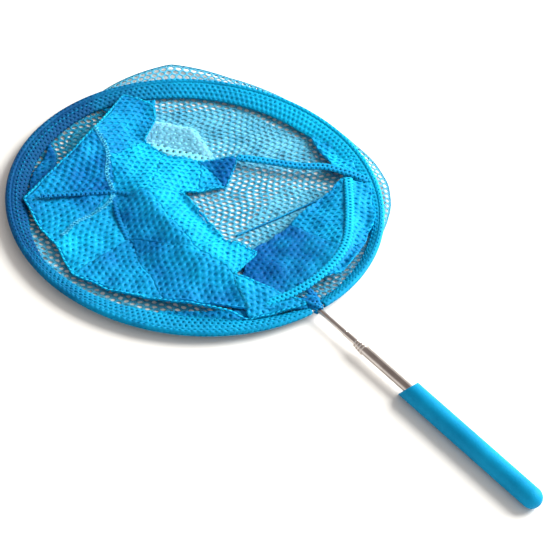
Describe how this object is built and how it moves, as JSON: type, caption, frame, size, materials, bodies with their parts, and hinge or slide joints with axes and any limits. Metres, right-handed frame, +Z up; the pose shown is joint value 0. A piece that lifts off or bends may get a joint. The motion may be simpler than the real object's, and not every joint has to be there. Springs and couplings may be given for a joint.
{
  "type": "telescopic hand net",
  "caption": "Wire hoop with a slack mesh bag on nested steel tubes that pull out of a soft closed-end grip; lifts leaves, insects or small fish.",
  "frame": {"origin": "on the surface the net lies on, at the middle of its footprint when pushed together", "axes": "+X along the handle from the hoop to the grip's closed end, +Z up out of the hoop's mouth"},
  "size_m": [0.377, 0.209, 0.013],
  "materials": {
    "steel_tube": "polished",
    "spring_wire": "satin",
    "brass_leaf": "satin",
    "grip_foam": "matte",
    "plug_plastic": "matte",
    "net_mesh": "matte",
    "hem_mesh": "matte",
    "thread": "matte"
  },
  "bodies": {
    "handle": {"tube_6": "steel_tube", "end_plug": "plug_plastic", "grip": "grip_foam"},
    "stage_5": {"tube_5": "steel_tube", "spring_5_upper": "brass_leaf", "spring_5_lower": "brass_leaf"},
    "stage_4": {"tube_4": "steel_tube", "spring_4_upper": "brass_leaf", "spring_4_lower": "brass_leaf"},
    "stage_3": {"tube_3": "steel_tube", "spring_3_upper": "brass_leaf", "spring_3_lower": "brass_leaf"},
    "stage_2": {"tube_2": "steel_tube", "spring_2_upper": "brass_leaf", "spring_2_lower": "brass_leaf"},
    "stage_1": {"spring_1_upper": "brass_leaf", "spring_1_lower": "brass_leaf"},
    "head": {"tube_1": "steel_tube", "hoop_wire": "spring_wire", "net_hem": "hem_mesh", "hem_stitch": "thread", "net_bag": "net_mesh", "side_seam": "thread"}
  },
  "joints": [
    {"name": "tube_5_slide", "type": "slide", "parent": "handle", "child": "stage_5", "axis": [-1, 0, 0], "range_m": [0, 0.1066]},
    {"name": "tube_4_slide", "type": "slide", "parent": "stage_5", "child": "stage_4", "axis": [-1, 0, 0], "range_m": [0, 0.1014]},
    {"name": "tube_3_slide", "type": "slide", "parent": "stage_4", "child": "stage_3", "axis": [-1, 0, 0], "range_m": [0, 0.0962]},
    {"name": "tube_2_slide", "type": "slide", "parent": "stage_3", "child": "stage_2", "axis": [-1, 0, 0], "range_m": [0, 0.091]},
    {"name": "tube_1_slide", "type": "slide", "parent": "stage_2", "child": "stage_1", "axis": [-1, 0, 0], "range_m": [0, 0.0928]},
    {"name": "head_turn", "type": "hinge", "parent": "stage_1", "child": "head", "pos_m": [0.1466, 0, 0.0057], "axis": [1, 0, 0], "continuous": true}
  ]
}
